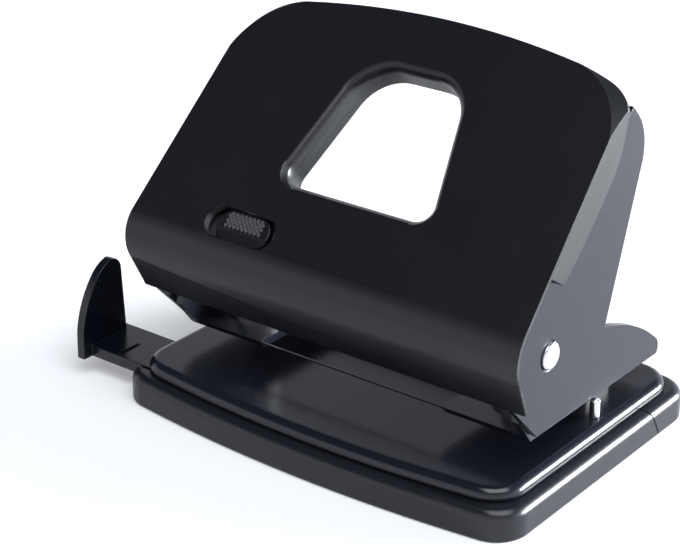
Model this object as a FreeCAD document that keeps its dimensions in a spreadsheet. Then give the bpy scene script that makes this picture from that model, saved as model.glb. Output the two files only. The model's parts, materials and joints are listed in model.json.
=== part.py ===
import FreeCAD, Part
import Sketcher
import math
import os
from types import SimpleNamespace

# A two-hole lever punch. Millimetres, +Z up, +X to the right, +Y to the back.
# X = 0 is the middle of the width, Y = 0 the line where the paper stops, Z = 0 the underside of the tray.
# The handle's own pieces are drawn in the handle's frame: its origin is the pivot axis, "along" runs up
# the panel and "out" runs square to the panel, away from the pivot.

# How far a cutting outline runs past what it cuts.
cutOver = 1.0

drivingSizes = {
    # chip tray and the fixed rear tray behind it
    "traySide": 5.3, "trayHeight": 7.9, "trayFront": 48.9, "trayBow": 4.4, "trayRear": 37.0,
    "trayCorner": 8.5, "trayRim": 4.1, "trayFloor": 1.4, "trayRound": 0.8, "trayCrown": 2.5,
    "seamTop": 16.2, "seamFoot": 20.6, "seamGap": 0.4,
    "trayScrewAcross": 38.0, "trayScrewBack": 27.5, "trayBoss": 7.0,
    # base plate, its edge turned down all round
    "plateGap": 0.3, "plateInset": 3.0, "plateEdge": 2.8, "plateThick": 1.6, "plateCorner": 9.0,
    "plateRound": 2.3,
    # paper slot, stops and punch bracket
    "slotHeight": 5.0, "stopSize": 2.5, "stopPlay": 0.3, "stopProud": 0.2,
    "bracketThick": 2.0, "bracketBend": 0.6, "bracketArm": 26.0, "bracketArmBack": 3.0,
    "bracketArmTurn": 3.0, "earGap": 0.8, "earRadius": 8.5,
    "earShoulderTurn": 50.0, "earCrownTurn": 115.0,
    "earFoot": 25.7, "earKnee": 7.0, "earShoulderBack": 3.0, "earShoulderRise": 17.2,
    "earHumpBack": 16.6, "earHumpRise": 12.8, "earTailBack": 28.6, "earTailRise": 5.1,
    "earRear": 29.4, "earTailBulge": 1.2, "earTailLift": 0.4,
    "spacerSide": 6.6, "spacerDeep": 10.0, "spacerBack": 9.0,
    "rivetSize": 4.0, "rivetHead": 7.0, "rivetHeadThick": 1.2, "rivetPitch": 24.0,
    # pivot
    "pinForward": 22.6, "pinHeight": 37.0, "pinSize": 6.5, "pinProud": 0.8, "pinPlay": 0.05,
    "pinEdge": 0.4, "pinSlotSide": 1.1, "pinSlotWide": 1.0, "pinSlotFoot": 1.0, "pinSlotDeep": 0.6,
    "clipSize": 10.0, "clipThick": 0.8, "clipDeep": 0.5, "clipPlay": 0.05, "clipInset": 0.3,
    "clipMouth": 4.0,
    # punches and their guides, seats and springs
    "holeSpacing": 80.0, "holeInset": 12.0, "punchSize": 6.0, "punchPlay": 0.05, "punchRest": 0.3,
    "punchNotch": 1.0, "punchDome": 0.5, "guideFlange": 15.6, "guideFlangeThick": 1.5,
    "guideBarrel": 11.0, "guideRise": 5.7, "seatSize": 9.8, "seatThick": 1.0, "seatDrop": 1.3,
    "springWire": 0.8, "springMean": 8.4, "springTurns": 4.0, "springPlay": 0.3, "springFoot": 0.05,
    # lever frame and press bar
    "handleAngle": 43.75, "panelRise": 20.6, "earPlay": 0.3, "leverThick": 1.5, "webDepth": 6.1,
    "webFront": 9.0, "webRear": 56.0, "cheekFront": 15.7, "cheekStep": 2.3, "cheekStepRise": 3.5,
    "cheekTip": 10.95, "cheekHeelFront": 6.4, "cheekHeelDrop": 19.2, "cheekArch": 22.3,
    "cheekArchTurn": -78.8, "cheekBack": 15.4, "cheekBackDrop": 17.8, "cheekTail": 41.7,
    "cheekTailDrop": 4.1, "cheekEnd": 50.2, "cheekEndRise": 0.3, "cheekBulge": 54.3,
    "cheekBulgeRise": 4.6, "cheekCrown": 11.0,
    "pressLift": 19.0, "pressBar": 6.0, "pressGap": 0.3, "hangerThick": 1.5, "hangerEdge": 2.4,
    # handle cover
    "coverNoseSide": 4.6, "coverShoulderSide": 1.6, "coverTaperEnd": 44.0, "coverFlare": 5.2,
    "coverTop": 63.7, "coverArch": 225.0, "coverCorner": 10.5, "coverCornerOver": 0.3,
    "coverSoftCorner": 22.0, "coverCornerTurn": 45.0, "coverSoftOver": 0.2, "coverInnerCorner": 16.0,
    "coverWall": 2.2, "coverPlay": 0.15,
    "noseRadius": 10.2, "noseFront": 2.9, "noseLean": 18.4, "noseEdge": 3.9,
    "wallEdgeStart": 8.6, "wallEdgeHigh": 12.8, "wallEdgeBend": 19.7, "wallEdgeMiddle": 11.2,
    "wallEdgeEnd": 40.9, "wallEdgeLow": 10.4, "wallRiseAlong": 46.1, "wallRise": 11.6,
    "wallRiseEnd": 52.9, "wallEdgeRear": 15.9,
    "sideRim": 1.1, "sideReliefTop": 10.7, "sideReliefFoot": 12.3,
    "windowFoot": 14.3, "windowTop": 49.2, "windowFootWidth": 43.0, "windowTopWidth": 27.6,
    "windowCorner": 11.0, "windowFootCorner": 4.0, "windowDeep": 8.0, "windowWall": 2.0,
    "windowRim": 1.8, "webWindowPlay": 0.5,
    "bossSize": 7.0, "bossAcross": 38.0, "bossLow": 10.5, "bossHigh": 43.0,
    "screwSize": 2.5, "screwHead": 5.5, "screwHeadThick": 1.5, "screwPlay": 0.2, "screwBite": 3.0,
    # lock slider
    "lockAcross": 24.6, "lockAlong": 0.35, "lockSlotLong": 20.6, "lockSlotTall": 8.2,
    "knobLong": 15.4, "knobPlay": 0.2, "knobShift": 0.5, "knobSink": 0.7, "knobStep": 0.6,
    "knobStepBelow": 1.3,
    "lockFlange": 2.2, "lockFlangeThick": 1.0,
    "lockBarLong": 30.0, "lockBarWide": 6.0, "lockBarThick": 1.6,
    # paper guide and its strap
    "guideEnd": 75.3, "guideInner": 38.0, "guideFront": 39.6, "guideRear": 24.6, "guideLow": 4.9,
    "guideThick": 3.0, "guideNeck": 2.1, "guideNeckStart": 10.0, "guideLug": 1.8, "guideLugLong": 1.5,
    "guideMark": 63.5, "guideMarkWide": 1.0, "guideMarkDeep": 0.5, "guideMarkFront": 1.7,
    "guideMarkBack": 7.1, "guidePlay": 0.3,
    "notchPlay": 1.0, "notchFrontPlay": 1.1, "finInset": 0.4, "finThick": 2.4, "finFront": 42.5,
    "finKneeFront": 42.3, "finKnee": 12.0, "finBowFront": 40.3, "finBow": 19.2,
    "finShoulderFront": 36.6, "finShoulder": 25.2, "finBrowFront": 34.2, "finBrow": 27.5,
    "finTopFront": 31.2, "finTop": 28.9, "finNapeFront": 28.7, "finNape": 27.9,
    "finHeelFront": 27.7, "finHeel": 25.8, "finRear": 26.6,
    "strapThick": 0.8, "strapLong": 7.0, "strapWallGap": 6.1, "strapFlange": 7.0,
    "strapRivet": 2.5, "strapRivetHead": 4.2, "strapRivetHeadThick": 0.8,
    "strapPlay": 0.3,
}


class Size:
    """A size with its value and the spreadsheet formula it comes from."""

    def __init__(self, value, formula):
        self.value = value
        self.formula = formula

    def joined(self, sign, other, value):
        return Size(value, "(%s %s %s)" % (self.formula, sign, other.formula))

    def __add__(self, other):
        other = asSize(other)
        return self.joined("+", other, self.value + other.value)

    def __sub__(self, other):
        other = asSize(other)
        return self.joined("-", other, self.value - other.value)

    def __mul__(self, other):
        other = asSize(other)
        return self.joined("*", other, self.value * other.value)

    def __truediv__(self, other):
        other = asSize(other)
        return self.joined("/", other, self.value / other.value)

    def __radd__(self, other):
        return asSize(other) + self

    def __rsub__(self, other):
        return asSize(other) - self

    def __rmul__(self, other):
        return asSize(other) * self

    def __neg__(self):
        return asSize(0) - self


def asSize(number):
    if isinstance(number, Size):
        return number
    return Size(float(number), "(%r)" % float(number))


def sine(angle):
    return Size(math.sin(math.radians(angle.value)), "sin(%s)" % angle.formula)


def cosine(angle):
    return Size(math.cos(math.radians(angle.value)), "cos(%s)" % angle.formula)


def root(number):
    return Size(math.sqrt(number.value), "sqrt(%s)" % number.formula)


doc = FreeCAD.newDocument("HolePunch")
sheet = doc.addObject("Spreadsheet::Sheet", "Sizes")
size = SimpleNamespace()
for row, (name, value) in enumerate(drivingSizes.items(), start=1):
    sheet.set("A%d" % row, name)
    sheet.set("B%d" % row, str(value))
    sheet.setAlias("B%d" % row, name)
    setattr(size, name, Size(value, "Sizes." + name))
doc.recompute()

# ---- sizes worked out from the driving ones ----
holeAcross = size.holeSpacing / 2
holeBack = -size.holeInset
earInner = holeAcross + size.guideFlange / 2 + size.earGap
bracketHalf = earInner + size.bracketThick
leverInner = bracketHalf + size.earPlay
leverHalf = leverInner + size.leverThick
trayHalf = leverHalf + size.traySide
trayInnerHalf = trayHalf - size.trayRim
plateHalf = trayHalf - size.plateInset
strapInner = trayInnerHalf - size.strapWallGap - size.strapLong
plateLow = size.trayHeight + size.plateGap
plateTop = plateLow + size.plateEdge
plateUnder = plateTop - size.plateThick
slotTop = plateTop + size.slotHeight
bracketTop = slotTop + size.bracketThick
pinBack = -size.pinForward
pinRadius = size.pinSize / 2
webTop = size.panelRise - size.webDepth
webLow = webTop - size.leverThick
punchRadius = size.punchSize / 2
punchTip = slotTop + size.punchRest
pressReach = (size.pinForward - size.holeInset) / cosine(size.pressLift)
pressTurn = size.pressLift - size.handleAngle
pressAlong = pressReach * cosine(pressTurn)
pressOut = pressReach * sine(pressTurn)
pressRadius = size.pressBar / 2
punchTop = size.pinHeight + pressReach * sine(size.pressLift) - pressRadius - size.pressGap
seatLow = punchTop - size.seatDrop - size.seatThick
guideTop = bracketTop + size.guideRise
panelInside = size.panelRise - size.coverWall
coverInnerHalf = leverHalf + size.coverPlay
coverNose = leverHalf + size.coverNoseSide
coverShoulder = leverHalf + size.coverShoulderSide
hangerOuter = earInner - size.clipInset - size.clipThick - size.clipInset


# ---- drawing helpers ----
def bind(item, path, value):
    item.setExpression(path, asSize(value).formula)


def newBody(label):
    body = doc.addObject("PartDesign::Body", "Body")
    body.Label = label
    return body


def newSketch(body, planeRole, offset=0.0):
    sketch = body.newObject("Sketcher::SketchObject", "Sketch")
    planes = [item for item in body.Origin.OriginFeatures if item.Role == planeRole]
    sketch.AttachmentSupport = [(planes[0], "")]
    sketch.MapMode = "FlatFace"
    bind(sketch, "AttachmentOffset.Base.z", offset)
    return sketch


def fixPoint(sketch, geometry, end, x, y):
    for kind, distance, axis in (("DistanceX", asSize(x), -2), ("DistanceY", asSize(y), -1)):
        if abs(distance.value) < 1e-9:
            sketch.addConstraint(Sketcher.Constraint("PointOnObject", geometry, end, axis))
            continue
        held = Sketcher.Constraint(kind, -1, 1, geometry, end, distance.value)
        index = sketch.addConstraint(held)
        sketch.setExpression("Constraints[%d]" % index, distance.formula)


def flat(x, y):
    return FreeCAD.Vector(asSize(x).value, asSize(y).value, 0)


def bend(x, y):
    return ("bend", x, y)


def drawOutline(sketch, path):
    """Draws a closed outline of corners (x, y); a bend between two corners makes that side an arc."""
    corners = []
    bends = {}
    for entry in path:
        if entry[0] == "bend":
            bends[len(corners) - 1] = entry[1:]
        else:
            corners.append(entry)
    sides = []
    for index, start in enumerate(corners):
        end = corners[(index + 1) % len(corners)]
        if index in bends:
            middle = bends[index]
            arc = Part.Arc(flat(*start), flat(*middle), flat(*end))
            side = sketch.addGeometry(arc, False)
            point = sketch.addGeometry(Part.Point(flat(*middle)), True)
            fixPoint(sketch, point, 1, *middle)
            sketch.addConstraint(Sketcher.Constraint("PointOnObject", point, 1, side))
            forward = sketch.getPoint(side, 1).distanceToPoint(flat(*start)) < 1e-6
            ends = (1, 2) if forward else (2, 1)
        else:
            side = sketch.addGeometry(Part.LineSegment(flat(*start), flat(*end)), False)
            ends = (1, 2)
        fixPoint(sketch, side, ends[0], *start)
        sides.append((side, ends))
    for index, (side, ends) in enumerate(sides):
        following, followingEnds = sides[(index + 1) % len(sides)]
        joint = Sketcher.Constraint("Coincident", side, ends[1], following, followingEnds[0])
        sketch.addConstraint(joint)


def drawCircle(sketch, x, y, diameter):
    circle = Part.Circle(flat(x, y), FreeCAD.Vector(0, 0, 1), asSize(diameter).value / 2)
    geometry = sketch.addGeometry(circle, False)
    fixPoint(sketch, geometry, 3, x, y)
    held = Sketcher.Constraint("Diameter", geometry, asSize(diameter).value)
    index = sketch.addConstraint(held)
    sketch.setExpression("Constraints[%d]" % index, asSize(diameter).formula)


def finish(body, feature, name):
    """Recomputes after a feature and hands it back; the feature's own name follows its sketch."""
    feature.Label = "%s %s" % (body.Label, name)
    doc.recompute()
    return feature


def pad(body, sketch, length, symmetric=False):
    feature = body.newObject("PartDesign::Pad", "Pad")
    feature.Profile = sketch
    feature.SideType = "Symmetric" if symmetric else "One side"
    bind(feature, "Length", length)
    return finish(body, feature, "pad")


def pocket(body, sketch, length, symmetric=False, upward=False):
    before = body.Shape.Volume
    feature = body.newObject("PartDesign::Pocket", "Pocket")
    feature.Profile = sketch
    feature.SideType = "Symmetric" if symmetric else "One side"
    feature.Reversed = upward
    bind(feature, "Length", length)
    finish(body, feature, "pocket")
    if not body.Shape.Volume < before - 1e-6:
        raise RuntimeError("a pocket of %s cuts nothing" % body.Label)
    return feature


def revolve(body, sketch, axisName):
    feature = body.newObject("PartDesign::Revolution", "Revolution")
    feature.Profile = sketch
    feature.ReferenceAxis = (sketch, [axisName])
    feature.Angle = 360
    return finish(body, feature, "revolution")


def dress(body, kind, test, sizeName, amount):
    """Adds a fillet or chamfer to the edges of the body's tip that pass the test."""
    base = body.Tip
    edges = ["Edge%d" % number for number, edge in enumerate(base.Shape.Edges, start=1) if test(edge)]
    if not edges:
        raise RuntimeError("no edge to round on %s" % body.Label)
    feature = body.newObject("PartDesign::" + kind, kind)
    feature.Base = (base, edges)
    bind(feature, sizeName, amount)
    return finish(body, feature, kind.lower())


def fillet(body, test, radius):
    return dress(body, "Fillet", test, "Radius", radius)


def chamfer(body, test, amount):
    return dress(body, "Chamfer", test, "Size", amount)


def isUpright(edge, x, y):
    """True for an edge along local Z whose place across Z is (x, y)."""
    first = edge.Vertexes[0].Point
    last = edge.Vertexes[-1].Point
    along = abs(first.z - last.z) > 0.2 and abs(first.x - last.x) + abs(first.y - last.y) < 1e-4
    return along and abs(first.x - x) + abs(first.y - y) < 1e-3


def isAtHeight(edge, z):
    box = edge.BoundBox
    return abs(box.ZMin - z) < 1e-4 and abs(box.ZMax - z) < 1e-4


def atCorners(corners):
    places = [(asSize(x).value, asSize(y).value) for x, y in corners]
    return lambda edge: any(isUpright(edge, x, y) for x, y in places)


def place(item, x, y, z):
    item.Placement = FreeCAD.Placement(flat(0, 0), FreeCAD.Rotation())
    bind(item, "Placement.Base.x", x)
    bind(item, "Placement.Base.y", y)
    bind(item, "Placement.Base.z", z)


def placeInHandle(item):
    turn = FreeCAD.Rotation(FreeCAD.Vector(1, 0, 0), size.handleAngle.value)
    item.Placement = FreeCAD.Placement(FreeCAD.Vector(0, pinBack.value, size.pinHeight.value), turn)
    bind(item, "Placement.Base.y", pinBack)
    bind(item, "Placement.Base.z", size.pinHeight)
    bind(item, "Placement.Rotation.Angle", size.handleAngle)


def rod(diameter, length, x, y, z):
    item = doc.addObject("Part::Cylinder", "Rod")
    bind(item, "Radius", asSize(diameter) / 2)
    bind(item, "Height", length)
    place(item, x, y, z)
    return item


def fused(*items):
    item = doc.addObject("Part::MultiFuse", "Fused")
    item.Shapes = list(items)
    return item


def group(label, items):
    item = doc.addObject("Part::Compound", "Group")
    item.Links = list(items)
    item.Label = label
    return item


# ---- trays ----
def trayOutline(half, front, bow, back):
    return [(half, back), (-half, back), (-half, bow - front), bend(0, -front), (half, bow - front)]


def roundTrayCorners(body, half, front, back, radius):
    corners = [(half, back), (-half, back), (-half, front), (half, front)]
    fillet(body, atCorners(corners), radius)


def tray(label):
    """The whole tray with its hollow, before it is parted at the seam."""
    body = newBody(label)
    outer = newSketch(body, "XY_Plane")
    drawOutline(outer, trayOutline(trayHalf, size.trayFront, size.trayBow, size.trayRear))
    pad(body, outer, size.trayHeight)
    frontCorner = size.trayBow - size.trayFront
    roundTrayCorners(body, trayHalf, frontCorner, size.trayRear, size.trayCorner)
    fillet(body, lambda edge: isAtHeight(edge, 0), size.trayRound)
    hollow = newSketch(body, "XY_Plane", size.trayHeight)
    innerFront = size.trayFront - size.trayRim
    innerBack = size.trayRear - size.trayRim
    drawOutline(hollow, trayOutline(trayInnerHalf, innerFront, size.trayBow, innerBack))
    pocket(body, hollow, size.trayHeight - size.trayFloor)
    innerCorner = size.trayBow - innerFront
    innerRadius = size.trayCorner - size.trayRim
    roundTrayCorners(body, trayInnerHalf, innerCorner, innerBack, innerRadius)
    fillet(body, isTrayCrown, size.trayCrown)
    return body


def isTrayCrown(edge):
    box = edge.BoundBox
    side = trayInnerHalf.value + size.trayRim.value / 2
    front = size.trayRim.value / 2 - size.trayFront.value
    back = size.trayRear.value - size.trayRim.value / 2
    isOutside = box.XMax > side or box.XMin < -side or box.YMin < front or box.YMax > back
    return isAtHeight(edge, size.trayHeight.value) and isOutside


def cutAtSeam(body, offset, farSide):
    """Removes what lies between the slanted seam, moved back by offset, and the far side."""
    lean = (size.seamTop - size.seamFoot) / size.trayHeight
    low = size.seamFoot + offset - lean * cutOver
    high = size.seamTop + offset + lean * cutOver
    seam = newSketch(body, "YZ_Plane")
    top = size.trayHeight + cutOver
    drawOutline(seam, [(low, -cutOver), (farSide, -cutOver), (farSide, top), (high, top)])
    pocket(body, seam, (trayHalf + cutOver) * 2, symmetric=True)


def chipTray():
    body = tray("chip_tray")
    cutAtSeam(body, 0, size.trayRear + cutOver)
    notch = newSketch(body, "XY_Plane", size.guideLow - size.guidePlay)
    left = -trayHalf - cutOver
    front = -size.guideFront - size.notchFrontPlay
    back = -size.guideRear + size.notchPlay
    right = -strapInner - size.strapLong
    drawOutline(notch, [(left, front), (right, front), (right, back), (left, back)])
    pocket(body, notch, size.trayHeight, upward=True)
    strapFront = front - size.strapThick - size.strapPlay
    reach = -strapInner + size.strapPlay
    relief = newSketch(body, "XY_Plane", size.trayFloor)
    start = right - size.strapPlay
    drawOutline(relief, [(start, strapFront), (reach, strapFront), (reach, back), (start, back)])
    pocket(body, relief, size.trayHeight, upward=True)
    return body


def rearTray():
    body = tray("rear_tray")
    cutAtSeam(body, size.seamGap, -size.trayFront - cutOver)
    places = [(size.trayScrewAcross, size.trayScrewBack), (-size.trayScrewAcross, size.trayScrewBack)]
    bosses = newSketch(body, "XY_Plane", size.trayFloor / 2)
    for x, y in places:
        drawCircle(bosses, x, y, size.trayBoss)
    pad(body, bosses, plateUnder - size.trayFloor / 2)
    bores = newSketch(body, "XY_Plane")
    for x, y in places:
        drawCircle(bores, x, y, size.screwSize + size.screwPlay)
    pocket(body, bores, plateTop, upward=True)
    recess = newSketch(body, "XY_Plane")
    for x, y in places:
        drawCircle(recess, x, y, size.screwHead + size.screwPlay * 2)
    pocket(body, recess, size.screwHeadThick + size.screwPlay * 2, upward=True)
    return body


def trayScrews():
    low = size.screwPlay * 2
    screws = []
    for across in (size.trayScrewAcross, -size.trayScrewAcross):
        head = rod(size.screwHead, size.screwHeadThick, across, size.trayScrewBack, low)
        shank = rod(size.screwSize, plateTop - low * 2, across, size.trayScrewBack, low)
        screws.append(fused(head, shank))
    return group("tray_screws", screws)


# ---- base plate and what is riveted to it ----
def rivetPlaces():
    back = size.spacerBack + size.spacerDeep / 2
    return [(size.rivetPitch * step, back) for step in (-1.5, -0.5, 0.5, 1.5)]


def strapRivetPlace():
    across = -strapInner - size.strapLong / 2
    back = -size.guideRear + size.guidePlay + size.strapThick + size.strapFlange / 2
    return (across, back)


def basePlate():
    body = newBody("base_plate")
    front = size.trayFront - size.plateInset
    back = size.trayRear - size.plateInset
    outer = newSketch(body, "XY_Plane", plateLow)
    drawOutline(outer, trayOutline(plateHalf, front, size.trayBow, back))
    pad(body, outer, size.plateEdge)
    under = newSketch(body, "XY_Plane", plateLow)
    underHalf = plateHalf - size.plateThick
    underFront = front - size.plateThick
    underBack = back - size.plateThick
    drawOutline(under, trayOutline(underHalf, underFront, size.trayBow, underBack))
    pocket(body, under, size.plateEdge - size.plateThick, upward=True)
    roundTrayCorners(body, plateHalf, size.trayBow - front, back, size.plateCorner)
    underCorner = size.plateCorner - size.plateThick
    roundTrayCorners(body, underHalf, size.trayBow - underFront, underBack, underCorner)
    fillet(body, lambda edge: isAtHeight(edge, plateTop.value), size.plateRound)
    holes = newSketch(body, "XY_Plane", plateTop)
    for side in (-1, 1):
        drawCircle(holes, holeAcross * side, holeBack, size.punchSize + size.punchPlay * 2)
        drawCircle(holes, size.trayScrewAcross * side, size.trayScrewBack, size.screwSize)
    for x, y in rivetPlaces():
        drawCircle(holes, x, y, size.rivetSize)
    drawCircle(holes, *strapRivetPlace(), size.strapRivet)
    pocket(body, holes, size.plateThick + cutOver)
    return body


def stopPosts():
    height = size.slotHeight - size.stopPlay
    back = size.stopSize / 2
    across = bracketHalf + size.stopProud
    posts = [rod(size.stopSize, height, across * side, back, plateTop) for side in (-1, 1)]
    return group("stop_posts", posts)


def earOutline():
    shoulderFront = pinBack + size.earRadius * cosine(size.earShoulderTurn)
    shoulderHigh = size.pinHeight + size.earRadius * sine(size.earShoulderTurn)
    crown = bend(pinBack + size.earRadius * cosine(size.earCrownTurn),
                 size.pinHeight + size.earRadius * sine(size.earCrownTurn))
    tailMiddle = (size.earTailBack + size.earRear) / 2 + size.earTailBulge
    tail = bend(tailMiddle, slotTop + size.earTailRise / 2 + size.earTailLift)
    return [(-size.earFoot, slotTop), (size.earRear, slotTop), tail,
            (size.earTailBack, slotTop + size.earTailRise),
            bend(size.earHumpBack, slotTop + size.earHumpRise),
            (size.earShoulderBack, slotTop + size.earShoulderRise),
            (shoulderFront, shoulderHigh), crown, (pinBack - size.earRadius, size.pinHeight),
            (pinBack - size.earRadius, slotTop + size.earKnee)]


def punchBracket():
    body = newBody("punch_bracket")
    side = newSketch(body, "YZ_Plane")
    drawOutline(side, earOutline())
    pad(body, side, bracketHalf * 2, symmetric=True)
    between = newSketch(body, "YZ_Plane")
    far = size.earRear + size.pinForward
    high = size.pinHeight + size.earRadius * 2
    drawOutline(between, [(-far, bracketTop), (far, bracketTop), (far, high), (-far, high)])
    pocket(body, between, earInner * 2, symmetric=True)
    fillet(body, isBracketBend, size.bracketBend)
    holes = newSketch(body, "XY_Plane", bracketTop)
    for across in (-holeAcross, holeAcross):
        drawCircle(holes, across, holeBack, size.punchSize + size.punchPlay * 2)
    for x, y in rivetPlaces():
        drawCircle(holes, x, y, size.rivetSize)
    pocket(body, holes, size.bracketThick + cutOver)
    middle = newSketch(body, "XY_Plane", bracketTop)
    half = holeAcross - size.bracketArm / 2
    front = -size.earFoot - cutOver
    drawOutline(middle, [(-half, front), (half, front), (half, size.bracketArmBack),
                         (-half, size.bracketArmBack)])
    pocket(body, middle, size.bracketThick + cutOver)
    innerCorners = [(-half, size.bracketArmBack), (half, size.bracketArmBack)]
    fillet(body, atCorners(innerCorners), size.bracketArmTurn)
    bore = newSketch(body, "YZ_Plane")
    drawCircle(bore, pinBack, size.pinHeight, size.pinSize + size.pinPlay * 2)
    pocket(body, bore, (bracketHalf + cutOver) * 2, symmetric=True)
    return body


def isBracketBend(edge):
    box = edge.BoundBox
    low = abs(box.ZMin - slotTop.value) < 1e-4 and abs(box.ZMax - slotTop.value) < 1e-4
    return low and box.YLength > 5 and abs(abs(box.Center.x) - bracketHalf.value) < 1e-4


def bracketSpacer():
    body = newBody("bracket_spacer")
    half = bracketHalf - size.spacerSide
    back = size.spacerBack + size.spacerDeep
    outer = newSketch(body, "XY_Plane", plateTop)
    drawOutline(outer, [(-half, size.spacerBack), (half, size.spacerBack), (half, back), (-half, back)])
    pad(body, outer, size.slotHeight)
    holes = newSketch(body, "XY_Plane", slotTop)
    for x, y in rivetPlaces():
        drawCircle(holes, x, y, size.rivetSize)
    pocket(body, holes, size.slotHeight + cutOver)
    return body


def bracketRivets():
    rivets = []
    for x, y in rivetPlaces():
        foot = rod(size.rivetHead, size.rivetHeadThick, x, y, plateUnder - size.rivetHeadThick)
        shank = rod(size.rivetSize, bracketTop - plateUnder, x, y, plateUnder)
        head = rod(size.rivetHead, size.rivetHeadThick, x, y, bracketTop)
        rivets.append(fused(foot, shank, head))
    return group("bracket_rivets", rivets)


# ---- pivot ----
def pivotPin():
    body = newBody("pivot_pin")
    end = leverHalf + size.pinProud
    grooveDeep = pinRadius - size.clipDeep
    grooveOuter = earInner - size.clipInset + size.clipPlay
    grooveInner = earInner - size.clipInset - size.clipThick - size.clipPlay
    profile = newSketch(body, "XY_Plane")
    right = [(grooveInner, pinRadius), (grooveInner, grooveDeep), (grooveOuter, grooveDeep),
             (grooveOuter, pinRadius), (end - size.pinEdge, pinRadius), (end, pinRadius - size.pinEdge),
             (end, 0)]
    left = [(-x, y) for x, y in reversed(right)]
    drawOutline(profile, left + right)
    revolve(body, profile, "H_Axis")
    slot = newSketch(body, "YZ_Plane", end)
    slotEnd = size.pinSlotSide + size.pinSlotWide
    drawOutline(slot, [(size.pinSlotSide, size.pinSlotFoot), (slotEnd, size.pinSlotFoot),
                       (slotEnd, pinRadius), (size.pinSlotSide, pinRadius)])
    pocket(body, slot, size.pinSlotDeep)
    place(body, 0, pinBack, size.pinHeight)
    return body


def pivotClips():
    clips = []
    for side in (-1, 1):
        body = newBody("pivot clip %d" % side)
        outline = newSketch(body, "YZ_Plane", (earInner - size.clipInset - size.clipThick / 2) * side)
        drawCircle(outline, 0, 0, size.clipSize)
        drawCircle(outline, 0, 0, size.pinSize - size.clipDeep * 2 + size.clipPlay * 2)
        pad(body, outline, size.clipThick, symmetric=True)
        mouth = newSketch(body, "YZ_Plane")
        half = size.clipMouth / 2
        drawOutline(mouth, [(-half, 0), (half, 0), (half, size.clipSize), (-half, size.clipSize)])
        pocket(body, mouth, bracketHalf * 2, symmetric=True)
        place(body, 0, pinBack, size.pinHeight)
        clips.append(body)
    return group("pivot_clips", clips)


# ---- punches ----
def punch(label, across):
    body = newBody(label)
    profile = newSketch(body, "XZ_Plane")
    high = punchTop - punchTip
    dome = punchRadius - size.punchDome
    drawOutline(profile, [(0, 0), (punchRadius, 0), (punchRadius, high - size.punchDome), (dome, high),
                          (0, high)])
    revolve(body, profile, "V_Axis")
    notch = newSketch(body, "XZ_Plane")
    wide = punchRadius + cutOver
    drawOutline(notch, [(-wide, -cutOver), (wide, -cutOver), (punchRadius, 0), (0, size.punchNotch),
                        (-punchRadius, 0)])
    pocket(body, notch, wide * 2, symmetric=True)
    place(body, across, holeBack, punchTip)
    return body


def ringPiece(label, rings, bore, across):
    """A turned piece on a punch's line; rings are (diameter, low, high) and bore is its hole."""
    body = newBody(label)
    profile = newSketch(body, "XZ_Plane")
    inner = asSize(bore) / 2
    path = [(inner, rings[0][1])]
    for diameter, low, high in rings:
        outer = asSize(diameter) / 2
        path.append((outer, low))
        path.append((outer, high))
    path.append((inner, rings[-1][2]))
    drawOutline(profile, path)
    revolve(body, profile, "V_Axis")
    place(body, across, holeBack, 0)
    return body


def punchGuide(label, across):
    shoulder = bracketTop + size.guideFlangeThick
    rings = [(size.guideFlange, bracketTop, shoulder), (size.guideBarrel, shoulder, guideTop)]
    return ringPiece(label, rings, size.punchSize + size.punchPlay * 2, across)


def springSeat(label, across):
    rings = [(size.seatSize, seatLow, seatLow + size.seatThick)]
    return ringPiece(label, rings, size.punchSize, across)


def punchSpring(label, across):
    body = newBody(label)
    wire = newSketch(body, "XZ_Plane")
    drawCircle(wire, size.springMean / 2, size.springWire / 2, size.springWire)
    height = seatLow - size.springPlay - guideTop - size.springFoot - size.springWire
    coil = body.newObject("PartDesign::AdditiveHelix", "Helix")
    coil.Profile = wire
    coil.ReferenceAxis = (wire, ["V_Axis"])
    coil.Mode = "height-turns-angle"
    bind(coil, "Height", height)
    bind(coil, "Turns", size.springTurns)
    finish(body, coil, "helix")
    place(body, across, holeBack, guideTop + size.springFoot)
    return body


# ---- handle ----
def cheekOutline():
    arch = bend(size.cheekArch * cosine(size.cheekArchTurn), size.cheekArch * sine(size.cheekArchTurn))
    crown = bend(size.cheekBulge, size.cheekBulgeRise)
    return [(-size.webFront, webTop), (size.cheekStep - size.cheekFront, size.cheekStepRise),
            (-size.cheekFront, size.cheekStepRise), (-size.cheekFront, -size.cheekTip),
            (-size.cheekHeelFront, -size.cheekHeelDrop), arch, (size.cheekBack, -size.cheekBackDrop),
            (size.cheekTail, -size.cheekTailDrop), (size.cheekEnd, size.cheekEndRise), crown,
            (size.webRear, size.cheekCrown), (size.webRear, webTop)]


def roundedCorner(x, y, before, after, radius):
    """The arc that rounds a corner; before and after are unit directions from it to its neighbours."""
    together = before[0] * after[0] + before[1] * after[1]
    halfSine = root((1 - together) / 2)
    halfCosine = root((1 + together) / 2)
    run = radius * halfCosine / halfSine
    inward = radius / halfSine - radius
    middleX = (before[0] + after[0]) / 2 / halfCosine
    middleY = (before[1] + after[1]) / 2 / halfCosine
    return [(x + before[0] * run, y + before[1] * run),
            bend(x + middleX * inward, y + middleY * inward),
            (x + after[0] * run, y + after[1] * run)]


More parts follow.
